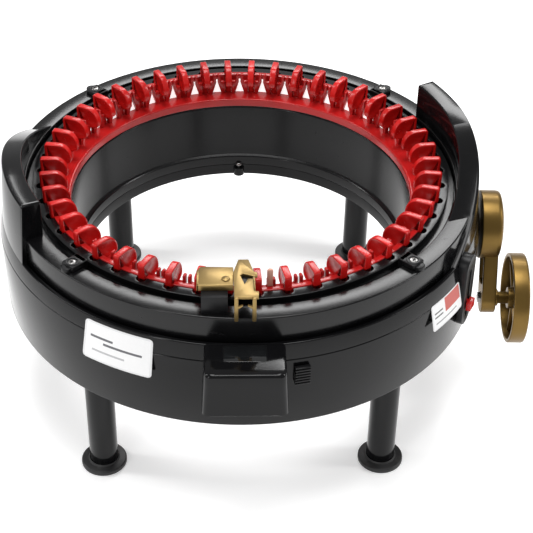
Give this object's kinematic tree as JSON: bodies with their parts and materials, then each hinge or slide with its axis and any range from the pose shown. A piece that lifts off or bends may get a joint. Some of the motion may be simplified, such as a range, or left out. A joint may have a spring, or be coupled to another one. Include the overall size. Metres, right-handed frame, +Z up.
{
  "type": "knitting machine",
  "caption": "Round hand-cranked knitting machine on four legs, with a turning ring of hooked needles, a crank, a yarn guide, a row counter and a selector lever.",
  "frame": {"origin": "on the floor, on the turning axis of the needle ring", "axes": "+Z up along the turning axis of the needle ring, +X towards the crank side, -Y towards the yarn guide and counter"},
  "size_m": [0.3416, 0.3345, 0.172],
  "materials": {
    "black_gloss": "glossy moulded black",
    "cover_black": "satin moulded black",
    "black_matte": "fine matt black",
    "foot_rubber": "soft matt black",
    "steel": "bright zinc plated",
    "bush_brass": "turned",
    "gear_plastic": "natural white moulding",
    "comb_red": "glossy moulded red",
    "needle_red": "glossy moulded red",
    "lever_red": "glossy moulded red",
    "white_plastic": "glossy white",
    "marker_peach": "pale peach",
    "guide_gold": "gold metallic, satin",
    "crank_gold": "bronze gold metallic, satin",
    "lens": "smoked clear window",
    "display": "grey display",
    "board_green": "green circuit board",
    "label_white": "smooth white film"
  },
  "bodies": {
    "base": {"lower_shell": "black_gloss", "upper_shell": "black_gloss", "top_cover": "cover_black", "inner_tube": "black_gloss", "cam_ring": "gear_plastic", "leg_front_left": "black_gloss", "leg_front_right": "black_gloss", "leg_back_left": "black_gloss", "leg_back_right": "black_gloss", "foot_front_left": "foot_rubber", "foot_front_right": "foot_rubber", "foot_back_left": "foot_rubber", "foot_back_right": "foot_rubber", "inner_screws": "steel", "shell_screws": "steel", "ring_clips": "black_matte", "clip_screws": "steel", "outer_bush": "bush_brass", "inner_bush": "bush_brass", "counter_housing": "black_gloss", "counter_lens": "lens", "counter_board": "board_green", "counter_display": "display", "counter_battery": "steel", "battery_cover": "black_matte", "guide_block": "black_matte", "yarn_guide": "guide_gold", "guide_rivet": "guide_gold", "selector_plate": "black_matte", "front_label": "label_white", "rating_label": "label_white"},
    "cylinder": {"needle_ring": "cover_black", "comb_ring": "comb_red", "stitch_ring": "white_plastic", "crown_gear": "gear_plastic", "needles": "needle_red", "start_marker": "marker_peach"},
    "needle_a": {"needle_a": "needle_red"},
    "needle_b": {"needle_b": "needle_red"},
    "needle_c": {"needle_c": "needle_red"},
    "crank": {"crank_shaft": "steel", "pinion": "gear_plastic", "crank_arm": "crank_gold", "arm_cap": "crank_gold", "knob_spindle": "crank_gold", "knob_screw": "steel"},
    "knob": {"knob": "crank_gold"},
    "counter_slider": {"counter_slider": "black_matte"},
    "selector_lever": {"selector_lever": "lever_red"}
  },
  "joints": [
    {"name": "ring_turn", "type": "hinge", "parent": "base", "child": "cylinder", "pos_m": [0, 0, 0.14], "axis": [0, 0, 1], "continuous": true},
    {"name": "crank_turn", "type": "hinge", "parent": "base", "child": "crank", "pos_m": [0.13987, -0.00611, 0.111], "axis": [0.999, -0.0436, 0], "continuous": true},
    {"name": "knob_spin", "type": "hinge", "parent": "crank", "child": "knob", "pos_m": [0.17893, -0.02854, 0.06659], "axis": [0.999, -0.0436, 0], "continuous": true},
    {"name": "needle_a_lift", "type": "slide", "parent": "cylinder", "child": "needle_a", "axis": [0, 0, 1], "range_m": [-0.006, 0]},
    {"name": "needle_b_lift", "type": "slide", "parent": "cylinder", "child": "needle_b", "axis": [0, 0, 1], "range_m": [-0.006, 0]},
    {"name": "needle_c_lift", "type": "slide", "parent": "cylinder", "child": "needle_c", "axis": [0, 0, 1], "range_m": [-0.006, 0]},
    {"name": "counter_slide", "type": "slide", "parent": "base", "child": "counter_slider", "axis": [0, 0, 1], "range_m": [0, 0.003]},
    {"name": "selector_slide", "type": "slide", "parent": "base", "child": "selector_lever", "axis": [0, 0, 1], "range_m": [-0.006, 0.02]}
  ],
  "couplings": [
    {"joint": "crank_turn", "follows": "ring_turn", "ratio": -7.5}
  ]
}
